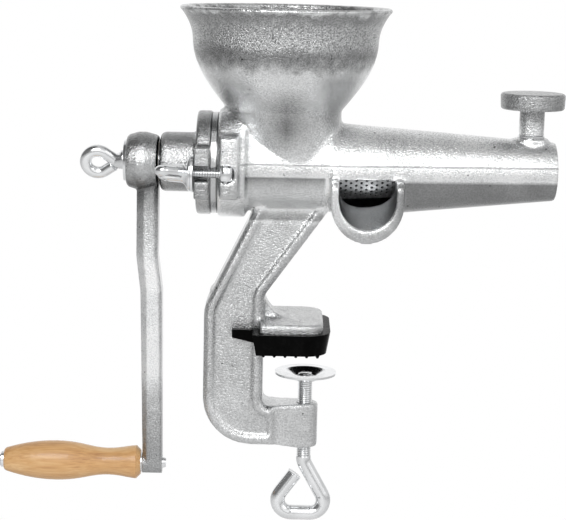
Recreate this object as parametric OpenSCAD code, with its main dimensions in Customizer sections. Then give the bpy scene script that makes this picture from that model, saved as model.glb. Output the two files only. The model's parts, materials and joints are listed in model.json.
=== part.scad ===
// Hand cranked fruit press with a table clamp, in millimetres.
// The shaft runs along +X, the crank is at -X, +Z is up and the juice spout
// faces -Y. The origin is on the table top, right above the clamp screw.

/* [Barrel] */
// Height of the shaft axis above the table top
axis_z = 122.8; // [112:0.2:136]
// Outside radius of the feed barrel under the hopper
barrel_r = 30; // [29.5:0.1:33]
// Bore radius of the feed barrel
bore_r = 26.5; // [25.5:0.1:27.5]
// Plane of the barrel mouth where the cover is bolted on
mouth_x = -60; // [-63:0.5:-58]
// Radius of the thick ring at the barrel mouth
mouth_r = 35.2; // [34.5:0.1:37]
// Length of the thick ring at the barrel mouth
mouth_len = 18; // [16:0.5:20]
// Plane where the strainer chamber starts
chamber_x = 13; // [11:0.5:15]
// Outside radius of the strainer chamber at its start
chamber_r = 31.4; // [31:0.1:32.5]
// How far the chamber lies below the shaft axis at its start
chamber_drop = 3.4; // [3:0.1:4]
// Plane of the pulp outlet
outlet_x = 159.2; // [154:0.1:165]
// Outside radius of the barrel at the pulp outlet
outlet_r = 19; // [18.5:0.1:20.5]
// How far the outlet lies below the shaft axis
outlet_drop = 1.2; // [1:0.1:2]
// Wall of the tapered barrel
barrel_wall = 3.4; // [3:0.1:3.7]

/* [Hopper] */
// Position of the hopper along the shaft
hopper_x = -18; // [-20:0.5:-16]
// Height of the hopper rim above the shaft axis
hopper_h = 100.2; // [92:0.2:108]
// Outside radius of the hopper rim
rim_r = 68; // [65:0.5:72]
// Outside radius of the waist below the rim
waist_r = 60; // [57:0.5:63]
// Outside radius where the bowl meets the throat
neck_r = 37; // [36:0.5:38]
// Wall of the hopper
hopper_wall = 3.2; // [2.5:0.1:4]
// Radius of the rolled bead on the rim
bead_r = 1.9; // [1.5:0.1:2.5]
// How far the bead stands out from the rim
bead_proud = 0.4; // [0.2:0.1:0.8]
// Inside radius of the throat
throat_r = 24.8; // [24:0.1:25]
// How far the foot of the throat is shifted towards the outlet
throat_shift = 10.5; // [8:0.5:12]

/* [Spout] */
// Position of the juice spout along the shaft
spout_x = 36; // [34:0.5:38]
// Half width of the spout
spout_r = 23.3; // [22:0.1:24]
// Wall of the spout
spout_wall = 3.6; // [3:0.1:4]
// Distance of the spout rim in front of the shaft axis
spout_reach = 42; // [40:0.5:46]
// Slope of the spout floor
spout_slope = 24; // [20:1:28]
// Height of the spout side walls below the shaft axis
spout_top = 5.8; // [5:0.1:7]

/* [Strainer] */
// Outside radius of the strainer sleeve at its wide end
strainer_r = 22.4; // [21.8:0.1:22.5]
// Taper of the strainer sleeve, radius lost per millimetre of length
strainer_taper = 0.056; // [0.055:0.001:0.06]
// Wall of the strainer sleeve
strainer_wall = 1; // [0.8:0.1:1.2]
// Length of the strainer sleeve
strainer_len = 56; // [54:0.5:58]
// Diameter of the strainer holes
hole_d = 1.8; // [1.4:0.1:2.2]
// Distance between rows of holes along the sleeve
hole_pitch = 3.35; // [3:0.05:3.7]
// Angle between the holes of one row
hole_step = 10; // [9:0.5:12]

/* [Auger] */
// Radius of the auger core at the crank end
core_r0 = 12; // [11.5:0.1:13]
// Radius of the auger core at the strainer end
core_r1 = 13.5; // [12:0.1:15]
// Pitch of the auger flight
flight_pitch = 27; // [24:1:32]
// Thickness of the flight at its crest
flight_t = 3; // [2:0.1:4]
// Length of the bare nose behind the last flight
nose_len = 30; // [20:1:40]

/* [Cover] */
// Thickness of the cover flange
cover_t = 9.4; // [8.5:0.1:10.5]
// Radius of the cover flange
cover_r = 33.8; // [33:0.1:34.4]
// Thickness of the joint ring between cover and barrel
ring_t = 4.6; // [3.5:0.1:5.5]
// Radius of the cover hub
hub_r = 19.4; // [18.5:0.1:20]
// Length of the cover hub in front of the flange
hub_len = 24; // [22:0.5:26]
// Radius of the spigot that centres the cover
spigot_r = 29; // [28.5:0.1:30]
// Depth of the spigot in the barrel
spigot_depth = 8.5; // [7:0.5:9]

/* [Swing bolts] */
// Distance of the swing bolts from the shaft axis
bolt_y = 42; // [42:0.5:44]
// Height of the swing bolts above the shaft axis
bolt_h = -2.1; // [-4:0.1:-1]
// Radius of the swing bolt thread
bolt_r = 3; // [2.8:0.1:3.2]
// Radius of the swing bolt eye
eye_r = 4.6; // [4.2:0.1:4.8]
// Height of the swing bolt eye
eye_h = 8.6; // [8:0.1:9]
// Radius of the pivot pin
pin_r = 2.2; // [2:0.1:2.4]
// Distance of the pivot pin behind the barrel mouth
pin_dx = 6; // [5.5:0.1:7]
// Reach of the bolt lugs beyond the bolt
lug_reach = 3.3; // [3:0.1:3.4]
// Top of the barrel lugs above the shaft axis
lug_top = 21.2; // [19:0.1:23]
// Bottom of both lugs below the shaft axis
lug_bottom = 18.4; // [17:0.1:20]
// Top of the cover lugs above the shaft axis
cover_lug_top = 14.2; // [12:0.1:16]
// Half height of the slot in the cover lugs
slot_half = 4.8; // [4:0.1:5.2]
// Radius of the wing nut collar
collar_r = 12; // [11:0.1:12.4]
// Thickness of the wing
wing_t = 8.2; // [7:0.1:9]
// Half span of the wings
wing_span = 18.5; // [16:0.1:19]

/* [Crank] */
// Length of the crank hub
crank_hub_len = 21; // [19:0.5:22]
// Largest radius of the crank hub
crank_hub_r = 19; // [18:0.1:20]
// Distance from the shaft to the grip
crank_throw = 204.4; // [190:0.2:216]
// Thickness of the crank arm at the hub
arm_t = 14.4; // [13:0.1:15]
// Thickness of the crank arm at the grip
arm_t_end = 13; // [12:0.1:14]
// Distance of the middle of the arm from the inner face of the hub
arm_inset = 7.3; // [7.2:0.1:9]
// Shift of the arm towards the press at its knee
knee_shift = 2.9; // [2:0.1:3.5]
// Shift of the arm towards the press at the grip
end_shift = 4.5; // [4:0.1:5]
// Distance of the knee from the shaft axis
knee_drop = 86; // [84:1:100]
// Width of the crank arm
arm_w = 18; // [16:0.5:20]
// Radius of the boss that holds the grip spindle
arm_end_r = 7.2; // [6.8:0.1:8]
// Radius of the shaft
shaft_r = 10; // [9.5:0.1:10.4]
// Width of the square on the shaft end
square_w = 12.8; // [12:0.1:13.2]
// Radius of the crank washer
crank_washer_r = 14; // [12:0.5:15]
// Thickness of the crank washer
crank_washer_t = 1.8; // [1.5:0.1:2.2]
// Radius of the crank bolt thread
crank_bolt_r = 4; // [3.5:0.1:4.2]
// Radius of the cone under the crank bolt eye
eye_neck_r = 7; // [6:0.1:8]
// Length of the cone under the crank bolt eye
eye_neck_len = 5; // [4:0.1:6]
// Radius of the wire in the crank bolt eye
eye_wire_r = 3.1; // [2.8:0.1:3.3]
// Radius of the crank bolt eye along the wire
eye_loop_r = 8.7; // [8.2:0.1:9.5]
// How far the crank bolt eye hangs below the shaft axis
eye_drop = 1.7; // [0:0.1:2]
// Depth of the shaft in the auger
shaft_depth = 34; // [28:1:40]

/* [Grip] */
// Length of the wooden grip
grip_len = 91.8; // [86:0.2:98]
// Largest radius of the wooden grip
grip_r = 13.2; // [12.5:0.1:14.5]
// Radius of the neck of the grip
grip_neck_r = 9; // [8:0.1:9.5]
// Radius of the grip spindle
spindle_r = 4; // [3.5:0.1:4.5]
// Radius of the metal cap on the spindle end
cap_r = 5.4; // [5:0.1:6.5]
// Length of the metal cap
cap_len = 3.4; // [2.5:0.1:4]

/* [Regulator] */
// Position of the pulp regulator along the shaft
regulator_x = 143; // [138:0.5:144]
// Radius of the regulator knob
knob_r = 21; // [18:0.5:23]
// Thickness of the regulator knob
knob_t = 10.6; // [9:0.1:12]
// Radius of the knob stem
stem_r = 8.1; // [7.8:0.1:9]
// Length of the knob stem
stem_len = 17; // [14:0.5:20]
// Radius of the regulator thread
regulator_r = 6; // [5.5:0.1:6.4]
// Height of the regulator boss above the shaft axis
regulator_boss_h = 21; // [20.4:0.1:22]
// Radius of the regulator boss
regulator_boss_r = 11; // [10:0.1:12.5]
// Depth of the screw point in the pulp outlet below the boss face
regulator_reach = 15; // [12:0.5:17]

/* [Frame] */
// Outer edge of the upright
leg_x = -67.8; // [-70:0.1:-66]
// Width of the upright
leg_w = 39.3; // [37:0.1:41]
// Depth of the frame from front to back
frame_depth = 32; // [28:0.5:36]
// Width of the edge bands on the front and back of the frame
band_w = 3.2; // [2.6:0.1:4]
// Depth of the sunk panel between the edge bands
panel_depth = 2; // [1:0.1:2.5]
// Width of the bevel along the frame edges
bevel_w = 3; // [2:0.1:3.6]
// Top face of the lower arm below the table top
arm_top = 37.4; // [36:0.1:39]
// Height of the lower arm
arm_h = 26.4; // [25:0.1:28]
// Height of the outer bend of the upright above the table top
bend_z = 24; // [20:0.5:28]
// Height of the inner knee of the upright above the table top
knee_z = 34.6; // [32:0.2:38]
// Lean of the outer edge of the upper frame
slope_left = 26; // [24:0.5:28]
// Lean of the inner edge of the upper frame
slope_right = 35.5; // [33:0.5:37]
// Radius of the heel of the frame
heel_r = 32; // [28:1:34]

/* [Clamp] */
// Depth of the upper jaw from front to back
jaw_depth = 64; // [56:1:68]
// Right end of the upper jaw
jaw_end = 10.5; // [9:0.5:12]
// Top face of the upper jaw above the table top
jaw_top = 21.8; // [20:0.2:24]
// Thickness of the pad floor over the ribs
pad_floor = 4.2; // [4:0.1:5]
// Height of the pad rim above the table top
pad_h = 16; // [14:0.5:18]
// Wall of the pad
pad_wall = 2.4; // [2.2:0.1:2.8]
// Spacing of the ribs under the pad
rib_pitch = 7; // [6:0.5:8]
// Height of the ribs under the pad
rib_h = 2; // [1.4:0.1:2.4]
// Radius of the clamp screw
screw_r = 5; // [4.5:0.1:5.4]
// Radius of the screw boss
screw_boss_r = 8.8; // [8.6:0.1:10]
// Length of the screw boss
screw_boss_len = 30.2; // [29:0.2:32]
// Rim of the clamp disc below the table top
disc_z = -16; // [-17:0.5:-15]
// Radius of the clamp disc
disc_r = 20.5; // [18:0.5:22]
// Radius of the hollow of the clamp disc
dish_r = 13.2; // [12:0.1:14]
// Depth of the hollow of the clamp disc
dish_depth = 4; // [3:0.1:4.5]
// Thickness of the clamp disc
disc_t = 1.4; // [1.2:0.1:1.6]
// Height of the bend of the screw loop below the table top
loop_z = -78; // [-82:0.5:-77]
// Height of the screw loop
loop_h = 36.6; // [35:0.1:38]
// Reach of the screw loop to the left
loop_left = 25.4; // [24:0.1:27]
// Reach of the screw loop to the right
loop_right = 20.4; // [19:0.1:22]

/* [Fits] */
// Radial clearance of running fits and threads
run_fit = 0.05; // [0.03:0.01:0.08]
// Clearance between parts that pass each other
pass_gap = 0.8; // [0.7:0.1:1]
// Clearance under the washers of the wing nuts
nut_gap = 0.4; // [0.36:0.02:0.5]
// Clearance of the auger flight in the bore
flight_gap = 0.6; // [0.4:0.1:0.8]

/* [Hidden] */
$fn = 64;
cut = 1;
cast_colour = [0.76, 0.77, 0.78];
steel_colour = [0.85, 0.85, 0.86];
bronze_colour = [0.72, 0.53, 0.30];
wood_colour = [0.82, 0.58, 0.33];
black_colour = [0.05, 0.05, 0.06];

// Stations along the shaft, from the mouth of the barrel to the crank bolt
cover_x = mouth_x - ring_t;
hub_x = cover_x - cover_t;
hub_end = hub_x - hub_len;
crank_x = hub_end - pass_gap;
crank_end = crank_x - crank_hub_len;
bolt_seat = crank_end - crank_washer_t;
spigot_end = mouth_x + spigot_depth;
thrust_t = 2;
auger_x = spigot_end + thrust_t + run_fit;
bush_r = shaft_r + 3;

// The hopper stands on the throat just above the mouth ring
neck_h = mouth_r + 0.3;

// Strainer seats, in a shoulder at the wide end and in the barrel at the narrow end
shoulder = 4;
seat_len = 6;
strainer_end = chamber_x + strainer_len;
seat_x = strainer_end - seat_len + cut;
collar_t = 2;
strainer_end_r = strainer_r - strainer_taper * strainer_len;

// Lines of the tapered barrel
taper_len = outlet_x - chamber_x;
taper_lean = atan((chamber_drop - outlet_drop) / taper_len);
function taper_at(x) = (x - chamber_x) / taper_len;
function barrel_r_at(x) = chamber_r + (outlet_r - chamber_r) * taper_at(x);
function barrel_drop_at(x) = chamber_drop + (outlet_drop - chamber_drop) * taper_at(x);
function strainer_r_at(x) = strainer_r - strainer_taper * (x - chamber_x);

// Swing bolts
pin_x = mouth_x + pin_dx;
bolt_z = axis_z + bolt_h;
lug_y = bolt_y + lug_reach;
washer_t = 1.4;
washer_x = hub_x - nut_gap;
nut_x = washer_x - washer_t;
collar_h = 4.2;
eye_gap = eye_h / 2 + 0.35;

// Crank arm and grip; the arm is straight where it passes the wing nuts
arm_x = crank_x - arm_inset;
straight_drop = bolt_y + wing_span + 2;
knee_x = arm_x + knee_shift;
arm_end_x = arm_x + end_shift;
wing_end = arm_x + arm_t / 2 + pass_gap;
grip_z = axis_z - crank_throw;
grip_face = 0.4;
grip_x = arm_end_x - arm_t_end / 2 - grip_face;
grip_washer_t = 1;
grip_end = grip_x - grip_washer_t - grip_len;
rivet_t = 2.6;

// Regulator
regulator_z = axis_z + regulator_boss_h;
ring_h = 1.2;
stem_z = regulator_z + ring_h + run_fit;

// Clamp
leg_in = leg_x + leg_w;
arm_bottom = -arm_top - arm_h;
jaw_x = leg_in - 2;
jaw_round = 12;
jaw_bottom = rib_h + pad_floor;
corner_r = 5;
arm_end = leg_in + corner_r + bevel_w + 0.5;
boss_top = 0.6 - arm_top;
boss_bottom = boss_top - screw_boss_len;
ribs_left = 4;
ribs_right = 1;

// Point at t on a cubic curve with four control points.
function curve(a, b, c, d, t) =
    a * pow(1 - t, 3) + 3 * b * t * pow(1 - t, 2) + 3 * c * t * t * (1 - t) + d * pow(t, 3);

// Points on an arc from angle a0 to a1, in steps.
function arc(centre, r, a0, a1, steps) =
    [for (i = [0 : steps]) let (a = a0 + (a1 - a0) * i / steps) centre + r * [cos(a), sin(a)]];

// A closed outline moved inwards by d, with mitred corners.
function inset(p, d) = [for (i = [0 : len(p) - 1])
    let (a = p[(i + len(p) - 1) % len(p)], b = p[i], c = p[(i + 1) % len(p)],
        u = (b - a) / norm(b - a), v = (c - b) / norm(c - b),
        m = [-u.y - v.y, u.x + v.x])
    b + m * d / (1 + u * v)];

// A body of revolution about the shaft axis, from [radius, x] points.
module turned(points) {
    translate([0, 0, axis_z])
        rotate([0, 90, 0])
            rotate_extrude()
                polygon(points);
}

// A cylinder or cone about the shaft axis.
module on_shaft(x0, x1, r0, r1) {
    translate([x0, 0, axis_z])
        rotate([0, 90, 0])
            cylinder(h = x1 - x0, r1 = r0, r2 = r1);
}

// A cylinder about the Z axis between two heights.
module upright(z0, z1, r) {
    translate([0, 0, z0])
        cylinder(h = z1 - z0, r = r);
}

// A box between two corners.
module box(a, b) {
    translate(a)
        cube(b - a);
}

// A flat outline in X and Z, extruded evenly to both sides of the middle plane.
module slab(depth) {
    rotate([90, 0, 0])
        translate([0, 0, -depth / 2])
            linear_extrude(depth)
                children();
}

// A curved bar with bevelled edges. The outline runs counterclockwise down one
// edge and back up the other, with as many points on both.
module bevelled_bar(outline, depth, bevel) {
    n = len(outline);
    inner = inset(outline, bevel);
    half = depth / 2;
    layers = [[inner, -half], [outline, bevel - half], [outline, half - bevel], [inner, half]];
    points = [for (layer = layers) for (p = layer[0]) [p.x, layer[1], p.y]];
    front = [for (i = [0 : n / 2 - 2]) [n - 1 - i, n - 2 - i, i + 1, i]];
    back = [for (f = front) 3 * n * [1, 1, 1, 1] + [f[3], f[2], f[1], f[0]]];
    edges = [for (k = [0 : 2]) for (i = [0 : n - 1])
        let (j = (i + 1) % n) [k * n + i, k * n + j, k * n + n + j, k * n + n + i]];
    polyhedron(points, concat(front, back, edges));
}

// Outside of the feed barrel with its thick mouth ring.
module feed_barrel() {
    fillet = 4;
    mouth_end = mouth_x + mouth_len;
    turned([[0, mouth_x], [mouth_r - 0.8, mouth_x], [mouth_r, mouth_x + 0.8], [mouth_r, mouth_end - 1],
        [mouth_r - 1, mouth_end], [barrel_r + 1, mouth_end + fillet / 4], [barrel_r, mouth_end + fillet],
        [barrel_r, chamber_x + 2], [0, chamber_x + 2]]);
}

// The barrel tapers and comes up towards the axis from the strainer to the pulp outlet.
module tapered_barrel(x0, x1, wall) {
    translate([x0, 0, axis_z - barrel_drop_at(x0)])
        rotate([0, 90 - taper_lean, 0])
            cylinder(h = (x1 - x0) / cos(taper_lean),
                r1 = barrel_r_at(x0) - wall, r2 = barrel_r_at(x1) - wall);
}

// Outline of the hopper in [radius, height] points, moved inwards by the wall.
function hopper_curve(wall) =
    let (rim = [rim_r - wall, hopper_h], waist = [waist_r - wall, 0.80 * hopper_h],
        neck = [neck_r - wall, neck_h])
    concat(
        [for (i = [0 : 7]) curve(rim, rim - [4, 6], waist + [0, 8], waist, i / 8)],
        [for (i = [0 : 12]) curve(waist, waist - [0.5, 16], neck + [14, 17], neck, i / 12)]);

// Bowl of the hopper with a rolled bead on its rim.
module hopper() {
    outer = hopper_curve(0);
    inner = hopper_curve(hopper_wall);
    last = len(outer) - 1;
    bead = arc([rim_r - bead_r + bead_proud, hopper_h], bead_r, 205, -25, 16);
    color(cast_colour)
        translate([hopper_x, 0, axis_z])
            rotate_extrude()
                polygon(concat(bead, [for (i = [1 : last]) outer[i]],
                    [for (i = [last : -1 : 1]) inner[i]]));
}

// The throat leans from the neck of the hopper to the middle of the feed barrel.
module throat(foot_r, top_r, foot_h, top) {
    skin = 1;
    hull() {
        translate([hopper_x + throat_shift * (1 - foot_h / neck_h), 0, axis_z + foot_h])
            cylinder(h = skin, r = foot_r, $fn = 96);
        translate([hopper_x, 0, axis_z + neck_h + top - skin])
            cylinder(h = skin, r = top_r, $fn = 96);
    }
}

// A length that reaches past every wall of the spout.
spout_run = 80;

// U section of the spout in its own leaning frame.
module spout_section(half, centre) {
    translate([0, centre])
        circle(half);
    translate([-half, centre])
        square([2 * half, 40]);
}

// Places the children along the spout floor, which leans down towards the front.
module along_spout(from) {
    translate([spout_x, 0, axis_z])
        rotate([90 + spout_slope, 0, 0])
            translate([0, 0, from])
                children();
}

module spout_solid() {
    corner = 6;
    intersection() {
        along_spout(0)
            linear_extrude(spout_run)
                spout_section(spout_r, -1);
        translate([spout_x - spout_run / 2, 0, axis_z])
            rotate([90, 0, 90])
                linear_extrude(spout_run)
                    difference() {
                        translate([-spout_reach, -60])
                            square([spout_reach, 60 - spout_top]);
                        difference() {
                            translate([-spout_reach - cut, -spout_top - corner])
                                square([corner + cut, corner + cut]);
                            translate([corner - spout_reach, -spout_top - corner])
                                circle(corner);
                        }
                    }
    }
}

// The spout floor widens to a lip behind the rim.
module spout_hollow() {
    lip = 11;
    lip_half = spout_r - spout_wall;
    front = spout_reach / cos(spout_slope);
    difference() {
        union() {
            along_spout(strainer_r - 8)
                linear_extrude(60)
                    spout_section(spout_r - spout_wall - 1.6, 1.5);
            hull() {
                along_spout(front - lip)
                    linear_extrude(0.1)
                        spout_section(lip_half - 1.6, 1.5);
                along_spout(front + lip)
                    linear_extrude(0.1)
                        spout_section(lip_half, -1);
            }
        }
        box([spout_x - spout_run / 2, -spout_run, axis_z - spout_top],
            [spout_x + spout_run / 2, 0, axis_z + spout_run]);
    }
}

// Outline of the upright and the lower arm to a given end, counterclockwise from the top left.
function frame_outline(end) =
    let (bend_r = 22, knee_r = 8, top = axis_z - 20,
        bend = arc([leg_x + bend_r, bend_z], bend_r, 180 - slope_left, 180, 6),
        heel = arc([leg_x + heel_r, arm_bottom + heel_r], heel_r, 180, 270, 12),
        corner = arc([leg_in + corner_r, corner_r - arm_top], corner_r, 270, 180, 12),
        knee = arc([leg_in + knee_r, knee_z], knee_r, 180, 180 - slope_right, 6))
    concat(
        [bend[0] + (top - bend[0].y) * [tan(slope_left), 1]], bend, heel,
        [[end, arm_bottom], [end, -arm_top]],
        corner, knee, [knee[6] + (top - knee[6].y) * [tan(slope_right), 1]]);

// The C frame has sunk panels on both faces with raised bands along the edges.
module frame_solid() {
    difference() {
        bevelled_bar(frame_outline(arm_end), frame_depth, bevel_w);
        for (side = [-1, 1])
            translate([0, side * (frame_depth / 2 - panel_depth / 2 + cut / 2), 0])
                slab(panel_depth + cut)
                    difference() {
                        polygon(inset(frame_outline(arm_end + arm_h), band_w + bevel_w));
                        translate([arm_end - band_w, arm_bottom])
                            square([2 * arm_h, arm_h]);
                    }
    }
}

// A round-cornered plate in X and Y for the jaw and its pad.
module jaw_plan(grow) {
    half = jaw_depth / 2 + grow;
    end = jaw_end + grow;
    r = jaw_round + grow;
    translate([jaw_x - grow, -half])
        square([end - r - jaw_x + grow, 2 * half]);
    translate([jaw_x - grow, -half + r])
        square([end - jaw_x + grow, 2 * (half - r)]);
    for (side = [-1, 1])
        translate([end - r, side * (half - r)])
            circle(r);
}

// Upper jaw with the fillet that runs up the inner edge of the upright.
module jaw_solid() {
    sweep = 18;
    leg_edge = leg_x + band_w;
    translate([0, 0, jaw_bottom])
        linear_extrude(jaw_top - jaw_bottom)
            jaw_plan(0);
    slab(frame_depth / 2)
        difference() {
            translate([leg_edge, jaw_top - 4])
                square([leg_in + sweep - leg_edge, sweep + 4]);
            translate([leg_in + sweep, jaw_top + sweep])
                circle(sweep);
        }
}

// The end of the lower arm narrows to the boss of the clamp screw.
module screw_boss() {
    root = 3;
    step = 0.3;
    half = frame_depth / 2 - bevel_w - step;
    hull() {
        box([arm_end - root, -half, arm_bottom + step], [arm_end - root + step, half, -arm_top - step]);
        upright(boss_bottom, boss_top, screw_boss_r);
    }
}

// Lugs for the swing bolts, one on each side of the mouth ring.
module barrel_lug(side) {
    x0 = mouth_x + 2;
    x1 = mouth_x + mouth_len - 4;
    difference() {
        box([x0, min(side * lug_y, side * (bore_r + 2)), axis_z - lug_bottom],
            [x1, max(side * lug_y, side * (bore_r + 2)), axis_z + lug_top]);
        box([x0 - cut, min(side * (lug_y + cut), side * (bolt_y - eye_r - 1)), bolt_z - eye_gap],
            [pin_x + eye_r + 0.5, max(side * (lug_y + cut), side * (bolt_y - eye_r - 1)), bolt_z + eye_gap]);
        translate([pin_x, side * bolt_y, 0])
            upright(axis_z - lug_bottom + 3, axis_z + lug_top + cut, pin_r);
    }
}

// Barrel, throat, spout, C frame and upper jaw; the hopper is cast on at the throat.
module body_casting() {
    color(cast_colour)
        difference() {
            union() {
                feed_barrel();
                tapered_barrel(chamber_x + 1, outlet_x, 0);
                throat(barrel_r - 1.5, neck_r, 0, 0);
                spout_solid();
                frame_solid();
                jaw_solid();
                screw_boss();
                barrel_lug(-1);
                barrel_lug(1);
                translate([regulator_x, 0, 0])
                    upright(axis_z, regulator_z, regulator_boss_r);
            }
            throat(throat_r, neck_r - hopper_wall, bore_r / 3, cut);
            on_shaft(mouth_x - cut, mouth_x + spigot_depth + 0.5, spigot_r, spigot_r);
            on_shaft(mouth_x, chamber_x, bore_r, bore_r);
            on_shaft(chamber_x - cut, chamber_x + shoulder + 2 * cut, strainer_r + run_fit,
                strainer_r + run_fit);
            tapered_barrel(chamber_x + shoulder + cut, seat_x, barrel_wall);
            on_shaft(seat_x - cut, strainer_end + cut, strainer_r_at(seat_x - cut) + run_fit,
                strainer_r_at(strainer_end + cut) + run_fit);
            tapered_barrel(strainer_end, outlet_x + 2, barrel_wall);
            spout_hollow();
            translate([regulator_x, 0, 0])
                upright(axis_z, regulator_z + cut, regulator_r + run_fit);
            upright(boss_bottom - cut, boss_top + cut, screw_r + run_fit);
        }
}

// Smooth ring between the cover flange and the barrel mouth.
module joint_ring() {
    color(steel_colour)
        difference() {
            on_shaft(cover_x, mouth_x, cover_r - 0.8, cover_r - 0.8);
            on_shaft(cover_x - cut, mouth_x + cut, spigot_r, spigot_r);
        }
}

module cover_lug(side) {
    difference() {
        box([hub_x, min(side * lug_y, side * hub_r), axis_z - lug_bottom],
            [cover_x, max(side * lug_y, side * hub_r), axis_z + cover_lug_top]);
        box([hub_x - cut, min(side * (lug_y + cut), side * (bolt_y - slot_half)), bolt_z - slot_half],
            [cover_x + cut, max(side * (lug_y + cut), side * (bolt_y - slot_half)), bolt_z + slot_half]);
    }
}

// Cover with the shaft bearing, a spigot and two slotted lugs.
module bearing_cover() {
    round_r = 3;
    color(cast_colour)
        difference() {
            union() {
                turned([[0, hub_end], [hub_r - round_r, hub_end], [hub_r - 1, hub_end + 1],
                    [hub_r, hub_end + round_r], [hub_r, hub_x - 2], [hub_r + 2, hub_x],
                    [cover_r - 1.2, hub_x], [cover_r, hub_x + 1.2], [cover_r, cover_x],
                    [spigot_r - run_fit, cover_x], [spigot_r - run_fit, spigot_end], [0, spigot_end]]);
                cover_lug(-1);
                cover_lug(1);
            }
            on_shaft(hub_end - cut, spigot_end + cut, bush_r, bush_r);
        }
}

module bearing_bush() {
    color(bronze_colour)
        difference() {
            on_shaft(hub_end, spigot_end, bush_r, bush_r);
            on_shaft(hub_end - cut, spigot_end + cut, shaft_r + run_fit, shaft_r + run_fit);
        }
}

module thrust_washer() {
    color(bronze_colour)
        difference() {
            on_shaft(spigot_end, spigot_end + thrust_t, bush_r + 3, bush_r + 3);
            on_shaft(spigot_end - cut, spigot_end + thrust_t + cut, shaft_r + run_fit, shaft_r + run_fit);
        }
}

// Crest radius of the flight: full in the feed barrel, then inside the strainer.
function flight_r(x) =
    let (full = bore_r - flight_gap, narrow = chamber_x - collar_t - 2,
        slim = strainer_r - strainer_wall - flight_gap - strainer_taper * max(0, x - chamber_x))
    x < narrow - 8 ? full : x < narrow ? full + (slim - full) * (x - narrow + 8) / 8 : slim;

// Helical flight as one strip of quads, with a root inside the core.
module flight() {
    steps = 150;
    x0 = auger_x + flight_t;
    x1 = strainer_end - flight_t;
    root = core_r0 - 2;
    sections = [for (i = [0 : steps])
        let (x = x0 + (x1 - x0) * i / steps, a = 360 * (x - x0) / flight_pitch, r = flight_r(x))
        [[root, x - flight_t, a], [root, x + flight_t, a],
            [r, x + flight_t / 2, a], [r, x - flight_t / 2, a]]];
    points = [for (s = sections) for (p = s) [p[1], p[0] * sin(p[2]), axis_z + p[0] * cos(p[2])]];
    last = 4 * steps;
    faces = concat([[3, 2, 1, 0], [last, last + 1, last + 2, last + 3]],
        [for (i = [0 : steps - 1]) for (k = [0 : 3])
            let (a = 4 * i + k, b = 4 * i + (k + 1) % 4) each [[a, b + 4, a + 4], [a, b, b + 4]]]);
    polyhedron(points, faces);
}

// Pressing auger with a tapered core and a blunt nose.
module auger() {
    nose = strainer_end + nose_len;
    shaft_in = auger_x + shaft_depth;
    color(cast_colour)
        difference() {
            union() {
                turned([[0, auger_x], [core_r0, auger_x], [core_r1, strainer_end], [core_r1 - 6, nose - 2],
                    [core_r1 - 8, nose], [0, nose]]);
                flight();
            }
            on_shaft(auger_x - cut, shaft_in, shaft_r, shaft_r);
        }
}

// Shaft with a square for the crank and a tapped end.
module drive_shaft() {
    shaft_in = auger_x + shaft_depth;
    square_x = crank_end + pass_gap;
    color(steel_colour)
        difference() {
            union() {
                on_shaft(crank_x, shaft_in, shaft_r, shaft_r);
                box([square_x, -square_w / 2, axis_z - square_w / 2],
                    [crank_x + cut, square_w / 2, axis_z + square_w / 2]);
            }
            on_shaft(square_x - cut, crank_x + 4, crank_bolt_r + run_fit, crank_bolt_r + run_fit);
        }
}

// Tapered strainer sleeve, perforated over its lower half.
module strainer() {
    rows = floor((strainer_len - seat_len - 4) / hole_pitch);
    first = chamber_x + 3;
    half_turn = 75;
    holes = floor(half_turn / hole_step);
    color(steel_colour)
        difference() {
            union() {
                on_shaft(chamber_x, strainer_end, strainer_r, strainer_end_r);
                on_shaft(chamber_x - collar_t, chamber_x, bore_r - 2 * run_fit, bore_r - 2 * run_fit);
            }
            on_shaft(chamber_x - collar_t - cut, strainer_end + cut,
                strainer_r + strainer_taper * (collar_t + cut) - strainer_wall,
                strainer_end_r - strainer_taper * cut - strainer_wall);
            for (row = [0 : rows - 1])
                for (i = [-holes : holes - row % 2])
                    translate([first + row * hole_pitch, 0, axis_z])
                        rotate([180 + (i + (row % 2) / 2) * hole_step, 0, 0])
                            translate([0, 0, core_r1])
                                cylinder(h = strainer_r - core_r1 + cut, d = hole_d, $fn = 16);
        }
}

// Section of the crank arm, with flat bevels that are wider on the outer side.
module arm_section(thickness, width, bevel) {
    left = thickness / 2;
    front = width / 2;
    slim = bevel / 2;
    polygon([[-left, bevel - front], [bevel - left, -front], [left - slim, -front],
        [left, slim - front], [left, front - slim], [left - slim, front],
        [bevel - left, front], [-left, front - bevel]]);
}

// Length of the crank arm between two stations of [x, drop, thickness, width, bevel].
module arm_length(from, to) {
    hull()
        for (p = [from, to])
            translate([p[0], 0, axis_z - p[1]])
                linear_extrude(0.1)
                    arm_section(p[2], p[3], p[4]);
}

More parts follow.
